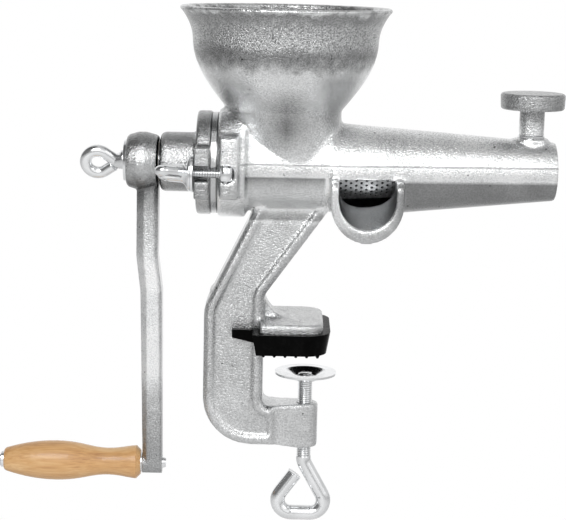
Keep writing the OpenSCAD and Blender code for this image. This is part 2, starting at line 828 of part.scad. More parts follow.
// Cast crank with a crowned hub, a tapered arm and a boss for the spindle.
module crank_arm() {
    crown = crank_hub_r - 1.8;
    stations = [[arm_x, 4, arm_t, arm_w, 5.2], [arm_x, straight_drop, arm_t, arm_w, 5],
        [knee_x, knee_drop, arm_t, arm_w, 4.4],
        [arm_end_x, crank_throw, arm_t_end, 2 * arm_end_r, 3]];
    color(cast_colour)
        difference() {
            union() {
                turned([[0, crank_end], [crown - 1.5, crank_end], [crown, crank_end + 1.5],
                    [crank_hub_r, crank_end + 0.35 * crank_hub_len],
                    [crank_hub_r, crank_end + 0.6 * crank_hub_len],
                    [crown, crank_x - 1.5], [crown - 1.5, crank_x], [0, crank_x]]);
                for (i = [0 : len(stations) - 2])
                    arm_length(stations[i], stations[i + 1]);
                translate([grip_x, 0, grip_z])
                    rotate([0, 90, 0])
                        cylinder(h = arm_t_end + grip_face, r = arm_end_r);
            }
            box([crank_end - cut, -square_w / 2, axis_z - square_w / 2],
                [crank_x + cut, square_w / 2, axis_z + square_w / 2]);
            translate([arm_end_x - arm_t, 0, grip_z])
                rotate([0, 90, 0])
                    cylinder(h = 2 * arm_t, r = spindle_r);
        }
}

module crank_washer() {
    color(steel_colour)
        difference() {
            on_shaft(bolt_seat, crank_end, crank_washer_r - 0.6, crank_washer_r);
            on_shaft(bolt_seat - cut, crank_end + cut, crank_bolt_r + run_fit, crank_bolt_r + run_fit);
        }
}

// Bolt with a wire eye, which holds the crank on its square.
module crank_bolt() {
    eye_turn = 20;
    reach = 1.42 * eye_loop_r;
    half = acos(eye_loop_r / reach);
    leg = reach * sin(half);
    color(steel_colour) {
        on_shaft(bolt_seat, crank_x + 2, crank_bolt_r, crank_bolt_r);
        on_shaft(bolt_seat - eye_neck_len, bolt_seat, eye_neck_r - 1.5, eye_neck_r);
        translate([bolt_seat - eye_neck_len - reach, 0, axis_z - eye_drop])
            rotate([90 + eye_turn, 0, 0]) {
                rotate([0, 0, half])
                    rotate_extrude(angle = 360 - 2 * half)
                        translate([eye_loop_r, 0])
                            circle(eye_wire_r);
                for (side = [-1, 1])
                    rotate([0, 0, side * half])
                        translate([eye_loop_r, 0, 0])
                            rotate([side * 90, 0, 0])
                                cylinder(h = leg + 1, r = eye_wire_r);
            }
    }
}

// Spindle riveted in the end of the crank arm.
module grip_spindle() {
    rivet_x = arm_end_x + arm_t_end / 2;
    color(steel_colour)
        translate([0, 0, grip_z - axis_z]) {
            on_shaft(grip_end - cap_len + 0.6, rivet_x, spindle_r, spindle_r);
            on_shaft(rivet_x, rivet_x + rivet_t, spindle_r, spindle_r - 1);
        }
}

module grip_washer() {
    color(steel_colour)
        translate([0, 0, grip_z - axis_z])
            difference() {
                on_shaft(grip_x - grip_washer_t + run_fit, grip_x, 6.5, 6.5);
                on_shaft(grip_x - grip_washer_t - cut, arm_end_x, spindle_r, spindle_r);
            }
}

// Turned wooden grip: a full belly, a neck and a flare towards the arm.
module wooden_grip() {
    end = grip_end;
    belly = [grip_r, end + 0.38 * grip_len];
    neck = [grip_neck_r, end + 0.76 * grip_len];
    flare = [grip_r - 2, end + grip_len - 3];
    color(wood_colour)
        translate([0, 0, grip_z - axis_z])
            difference() {
                turned(concat([[0, end], [cap_r + 1.5, end]],
                    [for (i = [0 : 8]) curve([cap_r + 2.4, end + 1], [grip_r - 3.6, end + 7],
                        belly - [0, 16], belly, i / 8)],
                    [for (i = [1 : 10]) curve(belly, belly + [0, 17], neck - [0, 12], neck, i / 10)],
                    [for (i = [1 : 6]) curve(neck, neck + [0, 8], flare - [0.4, 6], flare, i / 6)],
                    [[grip_r - 5, end + grip_len], [0, end + grip_len]]));
                on_shaft(end - cut, end + grip_len + cut, spindle_r + run_fit, spindle_r + run_fit);
            }
}

// Metal cap on the free end of the spindle.
module grip_cap() {
    color(steel_colour)
        translate([0, 0, grip_z - axis_z])
            difference() {
                turned([[0, grip_end - cap_len], [cap_r - 1.4, grip_end - cap_len],
                    [cap_r, grip_end - cap_len + 1.4], [cap_r, grip_end - run_fit], [0, grip_end - run_fit]]);
                on_shaft(grip_end - cap_len + 0.6, grip_end + cut, spindle_r, spindle_r);
            }
}

// Swing bolt with its eye, for the front (-1) or the rear (1).
module swing_bolt(side) {
    color(steel_colour)
        difference() {
            union() {
                translate([pin_x, side * bolt_y, 0])
                    upright(bolt_z - eye_h / 2, bolt_z + eye_h / 2, eye_r);
                translate([0, side * bolt_y, bolt_h])
                    on_shaft(wing_end + 6, pin_x - pin_r - 1, bolt_r, bolt_r);
            }
            translate([pin_x, side * bolt_y, 0])
                upright(bolt_z - eye_h, bolt_z + eye_h, pin_r + run_fit);
        }
}

module pivot_pin(side) {
    color(steel_colour)
        translate([pin_x, side * bolt_y, 0])
            upright(axis_z - lug_bottom + 3, axis_z + lug_top - 0.3, pin_r);
}

module nut_washer(side) {
    color(steel_colour)
        translate([0, side * bolt_y, bolt_h])
            difference() {
                on_shaft(nut_x, washer_x, collar_r, collar_r);
                on_shaft(nut_x - cut, washer_x + cut, bolt_r + run_fit, bolt_r + run_fit);
            }
}

// Wing nut with a domed collar and two thick wings.
module wing_nut(side) {
    lobe = 6.4;
    tip = wing_end + lobe;
    color(steel_colour)
        translate([0, side * bolt_y, bolt_h])
            difference() {
                union() {
                    turned([[0, wing_end + 4], [5.5, wing_end + 4], [6, nut_x - collar_h],
                        [collar_r - 3.4, nut_x - 2.4], [collar_r - 1, nut_x - 0.9], [collar_r - 0.6, nut_x],
                        [0, nut_x]]);
                    translate([0, 0, axis_z - wing_t / 2])
                        linear_extrude(wing_t) {
                            for (end = [-1, 1])
                                translate([tip, end * (wing_span - lobe)])
                                    circle(lobe);
                            polygon([[nut_x - 2, -7], [nut_x - 2, 7], [tip + 3, wing_span - 0.8],
                                [tip, wing_span - lobe], [tip + 1.5, 0], [tip, lobe - wing_span],
                                [tip + 3, 0.8 - wing_span]]);
                        }
                }
                on_shaft(wing_end + 5, nut_x + cut, bolt_r + run_fit, bolt_r + run_fit);
            }
}

module front_swing_bolt() { swing_bolt(-1); }
module rear_swing_bolt() { swing_bolt(1); }
module front_pivot_pin() { pivot_pin(-1); }
module rear_pivot_pin() { pivot_pin(1); }
module front_nut_washer() { nut_washer(-1); }
module rear_nut_washer() { nut_washer(1); }
module front_wing_nut() { wing_nut(-1); }
module rear_wing_nut() { wing_nut(1); }

// Screw that throttles the pulp outlet.
module regulator_screw() {
    point = 2;
    tip_z = regulator_z - regulator_reach;
    color(steel_colour)
        translate([regulator_x, 0, 0]) {
            upright(tip_z + point, stem_z + stem_len, regulator_r);
            translate([0, 0, tip_z])
                cylinder(h = point, r1 = regulator_r - point, r2 = regulator_r);
        }
}

// Flat round knob on a stem, fixed on the regulator screw.
module regulator_knob() {
    knob_z = stem_z + stem_len;
    color(cast_colour)
        translate([regulator_x, 0, 0])
            difference() {
                union() {
                    upright(stem_z, knob_z + 1, stem_r);
                    translate([0, 0, knob_z])
                        rotate_extrude()
                            polygon([[0, 0], [knob_r - 1.2, 0], [knob_r - 0.4, 1.2], [knob_r, knob_t - 1.4],
                                [knob_r - 1.2, knob_t], [0, knob_t]]);
                }
                upright(stem_z - cut, knob_z, regulator_r);
            }
}

module regulator_ring() {
    color(steel_colour)
        translate([regulator_x, 0, 0])
            difference() {
                upright(regulator_z + run_fit, regulator_z + ring_h, stem_r + 0.7);
                upright(regulator_z - cut, regulator_z + ring_h + cut, regulator_r + run_fit);
            }
}

// Ribbed plastic shoe on the upper jaw, with two tongues along the upright.
module jaw_pad() {
    taper = 2.4;
    tongue = 12;
    pad_x = jaw_x - 6.5;
    leg_side = frame_depth / 2;
    color(black_colour)
        difference() {
            union() {
                intersection() {
                    hull() {
                        translate([0, 0, pad_h - 0.1])
                            linear_extrude(0.1)
                                jaw_plan(pad_wall + taper);
                        translate([0, 0, rib_h])
                            linear_extrude(0.1)
                                jaw_plan(pad_wall);
                    }
                    box([pad_x, -jaw_depth, 0], [jaw_end + 20, jaw_depth, pad_h]);
                }
                for (i = [-ribs_left : ribs_right])
                    translate([i * rib_pitch, 0, rib_h])
                        rotate([90, 0, 0])
                            translate([0, 0, -jaw_depth / 2 + 2])
                                linear_extrude(jaw_depth - 4)
                                    polygon([[-1.6, 0.1], [-0.6, -rib_h], [0.6, -rib_h], [1.6, 0.1]]);
                for (side = [-1, 1])
                    translate([0, side * (leg_side + 2.5), 0])
                        slab(5)
                            polygon([[pad_x - tongue, pad_h - 5.4], [pad_x + 4, pad_h - 9],
                                [pad_x + 4, pad_h], [pad_x - tongue, pad_h]]);
            }
            translate([0, 0, jaw_bottom])
                linear_extrude(jaw_top)
                    jaw_plan(0);
            box([leg_x, -leg_side, -cut], [leg_in, leg_side, pad_h + cut]);
        }
}

// Screw with a bent triangular loop to turn it by hand.
module clamp_screw() {
    bend = 9;
    top = disc_z - dish_depth + 3;
    bottom = loop_z - loop_h;
    tip = [-5.7, loop_z - 9.4];
    path = [[0, top], [0, loop_z], [loop_right, bottom], [-loop_left, bottom], tip];
    color(steel_colour)
        bent_rod(path, bend, screw_r);
}

// A round rod along a flat path in X and Z, with round bends at the corners.
// The bends are a hair thicker and take in the ends of the straight lengths.
module bent_rod(path, bend, rod_r) {
    last = len(path) - 1;
    lap = 0.3;
    swell = 0.02;
    dirs = [for (i = [0 : last - 1]) (path[i + 1] - path[i]) / norm(path[i + 1] - path[i])];
    turns = [for (i = [1 : last - 1]) let (u = dirs[i - 1], v = dirs[i])
        atan2(u.x * v.y - u.y * v.x, u * v)];
    cuts = concat([0], [for (t = turns) bend * tan(abs(t) / 2)], [0]);
    rotate([90, 0, 0]) {
        for (i = [0 : last - 1])
            translate(path[i] + dirs[i] * (cuts[i] - lap))
                rotate([0, 0, atan2(dirs[i].y, dirs[i].x)])
                    rotate([0, 90, 0])
                        cylinder(h = norm(path[i + 1] - path[i]) - cuts[i] - cuts[i + 1] + 2 * lap,
                            r = rod_r);
        for (i = [1 : last - 1])
            let (t = turns[i - 1], u = dirs[i - 1], n = sign(t) * [-u.y, u.x])
                translate(path[i] - u * cuts[i] + n * bend)
                    rotate([0, 0, atan2(-n.y, -n.x) + min(t, 0)])
                        rotate_extrude(angle = abs(t))
                            translate([bend, 0])
                                circle(rod_r + swell);
    }
}

// Dished disc that swivels on the end of the clamp screw.
module clamp_disc() {
    hub = screw_r + 2.5;
    low = -dish_depth;
    color(steel_colour)
        translate([0, 0, disc_z])
            rotate_extrude()
                polygon([[screw_r + run_fit, low], [hub, low], [dish_r, -0.4], [dish_r + 1, 0], [disc_r, 0],
                    [disc_r, -disc_t], [dish_r + 1, -disc_t], [hub + 1, low - disc_t],
                    [screw_r + run_fit, low - disc_t]]);
}

body_casting();
hopper();
joint_ring();
bearing_cover();
bearing_bush();
thrust_washer();
auger();
drive_shaft();
strainer();
crank_arm();
crank_washer();
crank_bolt();
grip_spindle();
grip_washer();
wooden_grip();
grip_cap();
front_swing_bolt();
rear_swing_bolt();
front_pivot_pin();
rear_pivot_pin();
front_nut_washer();
rear_nut_washer();
front_wing_nut();
rear_wing_nut();
regulator_screw();
regulator_knob();
regulator_ring();
jaw_pad();
clamp_screw();
clamp_disc();
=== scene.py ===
# Hand cranked fruit press: finishes, fine detail, studio and camera, in metres.
import json
import math

import bpy
import numpy as np
from mathutils import Matrix


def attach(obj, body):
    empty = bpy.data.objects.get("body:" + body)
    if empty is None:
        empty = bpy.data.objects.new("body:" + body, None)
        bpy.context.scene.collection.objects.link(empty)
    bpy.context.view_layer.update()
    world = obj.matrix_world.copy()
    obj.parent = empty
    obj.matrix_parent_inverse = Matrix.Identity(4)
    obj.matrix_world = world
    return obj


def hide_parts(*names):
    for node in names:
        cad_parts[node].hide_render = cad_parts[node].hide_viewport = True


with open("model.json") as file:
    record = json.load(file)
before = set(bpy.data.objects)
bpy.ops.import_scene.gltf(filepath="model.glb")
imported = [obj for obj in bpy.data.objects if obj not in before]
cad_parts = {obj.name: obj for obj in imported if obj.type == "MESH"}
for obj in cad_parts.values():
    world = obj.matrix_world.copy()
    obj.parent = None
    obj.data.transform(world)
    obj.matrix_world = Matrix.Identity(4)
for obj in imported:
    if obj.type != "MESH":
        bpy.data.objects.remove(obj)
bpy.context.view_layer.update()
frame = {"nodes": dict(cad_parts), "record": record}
nodes = frame["nodes"]
print("frame loaded:", len(nodes), "nodes")


# Shader nodes

def newFinish(name, **values):
    # a material with one Principled shader, its constant values set on its own sockets
    finish = bpy.data.materials.new(name)
    finish.use_nodes = True
    tree = finish.node_tree
    shader = tree.nodes["Principled BSDF"]
    for socket, value in values.items():
        shader.inputs[socket.replace("_", " ")].default_value = value
    return finish, tree, shader


def addNode(tree, kind, **values):
    # a node with its attributes and input sockets set by name
    node = tree.nodes.new(kind)
    for key, value in values.items():
        socket = key.replace("_", " ")
        if socket in node.inputs:
            node.inputs[socket].default_value = value
        else:
            setattr(node, key, value)
    return node


def axesOf(tree, space):
    # the X, Y and Z of a texture space
    coords = addNode(tree, "ShaderNodeTexCoord")
    split = addNode(tree, "ShaderNodeSeparateXYZ")
    tree.links.new(coords.outputs[space], split.inputs["Vector"])
    return [split.outputs[axis] for axis in "XYZ"]


def objectNoise(tree, scale, detail, stretch=(1, 1, 1), roughness=0.5):
    # noise on Object coordinates, scale in cells per metre
    coords = addNode(tree, "ShaderNodeTexCoord")
    mapping = addNode(tree, "ShaderNodeMapping", Scale=stretch)
    noise = addNode(tree, "ShaderNodeTexNoise", Scale=scale, Detail=detail, Roughness=roughness)
    tree.links.new(coords.outputs["Object"], mapping.inputs["Vector"])
    tree.links.new(mapping.outputs["Vector"], noise.inputs["Vector"])
    return noise.outputs["Fac"]


def mathOf(tree, operation, *values):
    # a math node on sockets and plain numbers
    node = addNode(tree, "ShaderNodeMath", operation=operation)
    for socket, value in zip(node.inputs, values):
        if isinstance(value, (int, float)):
            socket.default_value = value
        else:
            tree.links.new(value, socket)
    return node.outputs[0]


def scaleColour(tree, colour, factor):
    # a fixed or textured colour times a factor
    node = addNode(tree, "ShaderNodeVectorMath", operation="SCALE")
    if isinstance(colour, tuple):
        node.inputs[0].default_value = colour
    else:
        tree.links.new(colour, node.inputs[0])
    tree.links.new(factor, node.inputs["Scale"])
    return node.outputs["Vector"]


def remap(tree, factor, low, high, start=0.3, end=0.7):
    # factor between start and end becomes low to high
    node = addNode(tree, "ShaderNodeMapRange")
    for socket, value in (("From Min", start), ("From Max", end), ("To Min", low), ("To Max", high)):
        node.inputs[socket].default_value = value
    tree.links.new(factor, node.inputs["Value"])
    return node.outputs["Result"]


def colourRamp(tree, factor, stops):
    # a ramp through (place, colour) stops, places from 0 to 1
    ramp = addNode(tree, "ShaderNodeValToRGB")
    while len(ramp.color_ramp.elements) < len(stops):
        ramp.color_ramp.elements.new(0.5)
    for element, (place, colour) in zip(ramp.color_ramp.elements, stops):
        element.position = place
        element.color = (*colour, 1)
    tree.links.new(factor, ramp.inputs["Fac"])
    return ramp.outputs["Color"]


def spanRamp(tree, factor, stops):
    # a ramp through (value, colour) stops, with the factor in the measure of the values
    low, high = stops[0][0], stops[-1][0]
    places = [((value - low) / (high - low), colour) for value, colour in stops]
    return colourRamp(tree, remap(tree, factor, 0, 1, low, high), places)


def greyStops(stops):
    # (value, level) stops as (value, grey colour)
    return [(value, [level] * 3) for value, level in stops]


def bandAround(tree, coordinate, centre, half, core=0.6):
    # 1 over the core of a band, falling to 0 at half its width
    away = mathOf(tree, "ABSOLUTE", mathOf(tree, "SUBTRACT", coordinate, centre))
    return remap(tree, away, 1, 0, core * half, half)


def addBump(tree, height, strength, distance, normal=None):
    # a bump over the normal below it, with a fixed or a textured strength
    bump = addNode(tree, "ShaderNodeBump", Distance=distance)
    if isinstance(strength, float):
        bump.inputs["Strength"].default_value = strength
    else:
        tree.links.new(strength, bump.inputs["Strength"])
    tree.links.new(height, bump.inputs["Height"])
    if normal:
        tree.links.new(normal, bump.inputs["Normal"])
    return bump.outputs["Normal"]


def dress(tree, shader, colour, rough, normal):
    # textured colour, roughness and normal of a shader
    for socket, value in (("Base Color", colour), ("Roughness", rough), ("Normal", normal)):
        tree.links.new(value, shader.inputs[socket])


# Finishes

# stops of (height, tone, roughness, grain) from the lowest to the highest point of each casting; the tones
# are painted shade, painted highlights and painted reflections by height, such as the bright band along the
# barrel, the dark band at the hopper's waist and the dark lower edge of the crank hub
castZones = {
    "body": [(-0.070, 0.78, 0.26, 0.5), (-0.040, 0.72, 0.26, 0.5), (-0.020, 0.64, 0.26, 0.6),
             (0.040, 0.64, 0.26, 0.6), (0.060, 0.66, 0.26, 0.5), (0.084, 0.68, 0.24, 0.5),
             (0.089, 1.0, 0.22, 0.4), (0.112, 1.0, 0.20, 0.4), (0.127, 0.96, 0.20, 0.5),
             (0.152, 0.90, 0.20, 0.5), (0.163, 0.76, 0.24, 0.5), (0.172, 0.80, 0.24, 0.4),
             (0.184, 0.84, 0.24, 0.4), (0.190, 0.46, 0.24, 0.7), (0.1945, 0.31, 0.24, 0.8),
             (0.199, 0.40, 0.24, 0.9), (0.203, 0.58, 0.22, 1.2), (0.213, 0.58, 0.22, 1.2),
             (0.217, 0.40, 0.24, 0.7), (0.2205, 0.36, 0.24, 0.7), (0.2235, 0.80, 0.24, 0.4),
             (0.226, 0.80, 0.24, 0.4)],
    "crank": [(-0.090, 0.46, 0.30, 0.6), (-0.050, 0.52, 0.30, 0.6), (-0.012, 1.0, 0.42, 0.4),
              (0.055, 1.0, 0.42, 0.4), (0.085, 0.62, 0.30, 0.6), (0.108, 0.16, 0.26, 0.5),
              (0.119, 0.60, 0.22, 0.5), (0.128, 0.66, 0.22, 0.5), (0.136, 0.44, 0.24, 0.5)],
    "cover": [(0.088, 0.76, 0.26, 0.5), (0.098, 0.56, 0.26, 0.5), (0.110, 0.40, 0.24, 0.6),
              (0.119, 0.60, 0.22, 0.6), (0.130, 0.62, 0.22, 0.6), (0.139, 0.46, 0.24, 0.6),
              (0.146, 0.36, 0.26, 0.5), (0.157, 0.50, 0.26, 0.5)],
    "knob": [(0.100, 0.52, 0.24, 0.7), (0.146, 0.92, 0.24, 0.5), (0.157, 0.44, 0.24, 0.8),
             (0.200, 0.46, 0.24, 0.8)],
    "machined": [(0.080, 0.62, 0.18, 0.15), (0.165, 0.62, 0.18, 0.15)],
}
# speckle, pits and clouds change the tone: (low, high) and the noise range that runs between them
castLook = {
    "tint": (0.985, 0.995, 1.0),
    "grainScale": 980, "grainDepth": 0.0009, "speckle": (-0.42, 0.24, 0.36, 0.62),
    "pitScale": 260, "pits": (1, 0.12, 0.77, 0.80),
    "cloudScale": 42, "clouds": (0.88, 1.12, 0.3, 0.7),
    "edgeScale": 130, "edgeWander": 0.003,
    "seamZ": 0.1257, "seamHalf": 0.0006, "seamHeight": 0.0006,
}
# dark joints across X as (place, half width, share of the tone left, lowest Z)
jointLines = {
    "hub": [(-0.0984, 0.0019, 0.05, 0.107)],
    "ring": [(-0.0646, 0.0009, 0.3, 0.08), (-0.0600, 0.0009, 0.3, 0.08)],
}
jointFade = 0.001  # height over which a joint line begins
# painted shade and painted dark reflections on the body, and a darker line along the parting ridge: the
# loss of tone, then two limits, each a run as (axis, from, to) or a band as (axis, centre, half width,
# core)
paintedShadeAndSeam = {
    # underTaper, spoutLip, saddle and hopperFlank are painted shade and painted reflections of dark
    # surroundings; partingLine darkens along the parting ridge
    "underTaper": (0.70, ("X", 0.045, 0.062), ("Z", 0.1172, 0.1148)),
    "spoutLip": (0.42, ("Y", -0.040, -0.046), ("Z", 0.126, 0.120)),
    "saddle": (0.72, ("X", -0.0165, 0.023, 0.0), ("Z", 0.150, 0.026, 0.1)),
    "hopperFlank": (0.42, ("X", 0.016, 0.018, 0.3), ("Z", 0.167, 0.024, 0.5)),
    "partingLine": (0.40, ("X", -0.046, -0.044), ("Z", castLook["seamZ"], castLook["seamHalf"], 0.6)),
}
# painted shade and painted reflection on the straight part of the barrel: a dark band near its bottom and
# darkening that grows up to a sharp edge just below its middle; its band along X, and stops of (height,
# loss of tone)
barrelShade = {
    "band": ("X", -0.0165, 0.0265, 0.93),
    "stops": [(0.0868, 0.0), (0.0885, 0.55), (0.0915, 0.5), (0.0955, 0.0), (0.103, 0.0), (0.109, 0.25),
              (0.1145, 0.5), (0.1170, 0.68), (0.1182, 0.0)],
}


def limitOf(tree, axes, axis, *limits):
    # 0 to 1 along a run of two limits, or 1 inside a band of three
    coordinate = axes["XYZ".index(axis)]
    if len(limits) == 2:
        return remap(tree, coordinate, 0, 1, *limits)
    return bandAround(tree, coordinate, *limits)


def paintBodyShadeAndSeam(tree, axes):
    # the share of tone left on the body by its painted shade and parting line: one minus the loss of each
    # place, multiplied, from the painted shade of the barrel on
    height = spanRamp(tree, axes[2], greyStops(barrelShade["stops"]))
    loss = mathOf(tree, "MULTIPLY", limitOf(tree, axes, *barrelShade["band"]), height)
    left = mathOf(tree, "SUBTRACT", 1, loss)
    for strength, first, second in paintedShadeAndSeam.values():
        cover = mathOf(tree, "MULTIPLY", limitOf(tree, axes, *first), limitOf(tree, axes, *second))
        left = mathOf(tree, "MULTIPLY", left, remap(tree, cover, 1, 1 - strength, 0, 1))
    return left


def makeTinnedCast(name, zones, seam=0.0, joints=(), paintShadeAndSeam=False):
    # sand cast and tinned: zones by height with a wandering edge set tone, gloss and grain, the tones with
    # painted shade and highlights in them, and the tone is multiplied by clouds, speckle, pits, the dark
    # joints and, when asked, the body's painted shade; seam is the strength of the parting ridge
    finish, tree, shader = newFinish(name, Metallic=1.0)
    axes = axesOf(tree, "Object")
    x, _, z = axes
    wander = castLook["edgeWander"]
    edge = remap(tree, objectNoise(tree, castLook["edgeScale"], 3), -wander, wander)
    zone = spanRamp(tree, mathOf(tree, "ADD", z, edge), [(height, look) for height, *look in zones])
    parts = addNode(tree, "ShaderNodeSeparateColor")
    tree.links.new(zone, parts.inputs["Color"])
    tone, rough, grain = (parts.outputs[channel] for channel in ("Red", "Green", "Blue"))

    grainHeight = objectNoise(tree, castLook["grainScale"], 2, roughness=0.6)
    speckle = mathOf(tree, "MULTIPLY_ADD", remap(tree, grainHeight, *castLook["speckle"]), grain, 1)
    pits = remap(tree, objectNoise(tree, castLook["pitScale"], 1), *castLook["pits"])
    clouds = remap(tree, objectNoise(tree, castLook["cloudScale"], 4), *castLook["clouds"])
    shades = [clouds, speckle, pits]
    for place, half, left, lowest in joints:
        above = remap(tree, z, 0, 1, lowest - jointFade, lowest)
        line = mathOf(tree, "MULTIPLY", bandAround(tree, x, place, half), above)
        shades.append(remap(tree, line, 1, left))
    # painted shade and painted reflections on the body, with its darker parting line
    if paintShadeAndSeam:
        shades.append(paintBodyShadeAndSeam(tree, axes))
    for shade in shades:
        tone = mathOf(tree, "MULTIPLY", tone, shade)

    ridge = bandAround(tree, z, castLook["seamZ"], castLook["seamHalf"])
    raised = addBump(tree, ridge, seam, castLook["seamHeight"])
    grainy = addBump(tree, grainHeight, grain, castLook["grainDepth"], raised)
    dress(tree, shader, scaleColour(tree, castLook["tint"], tone), rough, grainy)
    return finish


plateLook = {
    "zinc": (0.96, 0.97, 0.98), "steel": (0.78, 0.79, 0.80), "sheet": (0.50, 0.51, 0.52),
    "cloudScale": 60, "cloudTone": 0.86, "markScale": 420, "markBump": (0.15, 0.0001), "roughSpread": 0.05,
    "crestRange": (0.05, 0.5), "drawnX": (0.1, 1, 1), "drawnZ": (1, 1, 0.1),
}


def makePlate(name, tone, rough, stretch, groove=1.0):
    # plated or rolled metal with clouds and faint drawing marks along the piece;
    # groove is the share of the tone that is left in thread grooves, a painted shade and painted dark
    # reflection on the groove flanks
    finish, tree, shader = newFinish(name, Metallic=1.0)
    marks = objectNoise(tree, plateLook["markScale"], 3, stretch)
    clouds = objectNoise(tree, plateLook["cloudScale"], 3)
    dull = [plateLook["cloudTone"] * channel for channel in tone]
    colour = colourRamp(tree, clouds, [(0.3, dull), (0.65, tone)])
    # painted shade in the thread grooves, darkest at the bottom of each groove
    if groove < 1:
        crest = addNode(tree, "ShaderNodeAttribute", attribute_name="crest")
        paintedGrooveShade = remap(tree, crest.outputs["Fac"], groove, 1, *plateLook["crestRange"])
        colour = scaleColour(tree, colour, paintedGrooveShade)
    spread = plateLook["roughSpread"]
    dress(tree, shader, colour, remap(tree, marks, rough - spread, rough + spread),
          addBump(tree, marks, *plateLook["markBump"]))
    return finish


bronzeLook = {
    "dark": (0.55, 0.36, 0.17), "bright": (0.76, 0.56, 0.32),
    "ringScale": 900, "ringStretch": (1, 0.05, 0.05), "rough": (0.22, 0.38), "bump": (0.2, 0.0001),
}


def makeBronze():
    # turned bearing bronze with tool rings along the shaft
    finish, tree, shader = newFinish("turnedBronze", Metallic=1.0)
    rings = objectNoise(tree, bronzeLook["ringScale"], 2, bronzeLook["ringStretch"])
    stops = [(0.3, bronzeLook["dark"]), (0.7, bronzeLook["bright"])]
    dress(tree, shader, colourRamp(tree, rings, stops), remap(tree, rings, *bronzeLook["rough"]),
          addBump(tree, rings, *bronzeLook["bump"]))
    return finish


woodLook = {
    "stops": [(0.1, (0.48, 0.24, 0.09)), (0.42, (0.66, 0.37, 0.15)), (0.8, (0.78, 0.50, 0.24))],
    "fibreScale": 900, "fibreStretch": (0.05, 1, 1), "fibreShare": 0.4,
    "bandScale": 90, "bandStretch": (0.12, 1, 1), "bandShare": 0.6,
    "coat": 0.35, "coatRough": 0.12, "rough": (0.34, 0.5), "bump": (0.15, 0.0002),
}


def makeBeech():
    # lacquered beech: long fibres along the grip, added to broad bands, set the colour
    coat = {"Coat_Weight": woodLook["coat"], "Coat_Roughness": woodLook["coatRough"]}
    finish, tree, shader = newFinish("lacqueredBeech", **coat)
    fibres = objectNoise(tree, woodLook["fibreScale"], 4, woodLook["fibreStretch"])
    bands = objectNoise(tree, woodLook["bandScale"], 3, woodLook["bandStretch"])
    mixed = mathOf(tree, "ADD", remap(tree, bands, 0, woodLook["bandShare"]),
                   remap(tree, fibres, 0, woodLook["fibreShare"]))
    dress(tree, shader, colourRamp(tree, mixed, woodLook["stops"]), remap(tree, fibres, *woodLook["rough"]),
          addBump(tree, fibres, *woodLook["bump"]))
    return finish


plasticLook = {
    "stops": [(0.3, 0.001), (0.7, 0.003)], "specular": 0.03,
    "flowScale": 240, "rough": (0.18, 0.3), "bump": (0.1, 0.0002),
}


def makeBlackPlastic():
    # moulded glossy black with a faint flow texture
    finish, tree, shader = newFinish("mouldedBlack", Specular_IOR_Level=plasticLook["specular"])
    flow = objectNoise(tree, plasticLook["flowScale"], 3)
    colour = colourRamp(tree, flow, greyStops(plasticLook["stops"]))
    dress(tree, shader, colour, remap(tree, flow, *plasticLook["rough"]),
          addBump(tree, flow, *plasticLook["bump"]))
    return finish


finishes = {
    "tinned_iron": makeTinnedCast("tinnedCast", castZones["knob"]),
    "machined_iron": makeTinnedCast("machinedCast", castZones["machined"], joints=jointLines["ring"]),
    "bronze": makeBronze(),
    "steel": makePlate("brightSteel", plateLook["steel"], 0.2, plateLook["drawnX"]),
    "stainless_sheet": makePlate("stainlessSheet", plateLook["sheet"], 0.45, plateLook["drawnX"]),
    "zinc_steel": makePlate("zincPlate", plateLook["zinc"], 0.17, plateLook["drawnZ"]),
    "beech": makeBeech(),
    "black_plastic": makeBlackPlastic(),
}
for part in frame["record"]["subparts"]:
    mesh = nodes[part["node"]].data
    mesh.materials.clear()
    mesh.materials.append(finishes[part["material_slot"]])
ownFinish = {
    "crank_arm": makeTinnedCast("tinnedCrank", castZones["crank"], joints=jointLines["hub"]),
    "bearing_cover": makeTinnedCast("tinnedCover", castZones["cover"], joints=jointLines["hub"]),
}
for node, finish in ownFinish.items():
    nodes[node].data.materials[0] = finish
print("finishes on the nodes:", len(finishes) + len(ownFinish))


# Pieces from arrays

def addObject(name, data):
    # an object of the scene that holds the data
    thing = bpy.data.objects.new(name, data)
    bpy.context.scene.collection.objects.link(thing)
    return thing


def placePiece(name, shell, finish, crest=None):
    # a mesh object with smooth faces, one material and, on threads, the height of each point
    verts, faces = shell
    mesh = bpy.data.meshes.new(name)
    mesh.from_pydata(verts.tolist(), [], faces)
    mesh.polygons.foreach_set("use_smooth", np.ones(len(mesh.polygons), bool))
    mesh.materials.append(finish)
    if crest is not None:
        mesh.attributes.new("crest", "FLOAT", "POINT").data.foreach_set("value", crest)
    return addObject(name, mesh)


def standIn(piece, body, slot, *replaced):
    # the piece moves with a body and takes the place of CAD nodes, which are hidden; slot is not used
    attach(piece, body)
    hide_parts(*replaced)


def joinShells(shells):
    # several (verts, faces) shells as one, each with its face numbers moved past the points before it
    verts, faces, count = [], [], 0
    for points, polygons in shells:
        verts.append(points)
        faces += [[count + corner for corner in polygon] for polygon in polygons]
        count += len(points)
    return np.concatenate(verts), faces


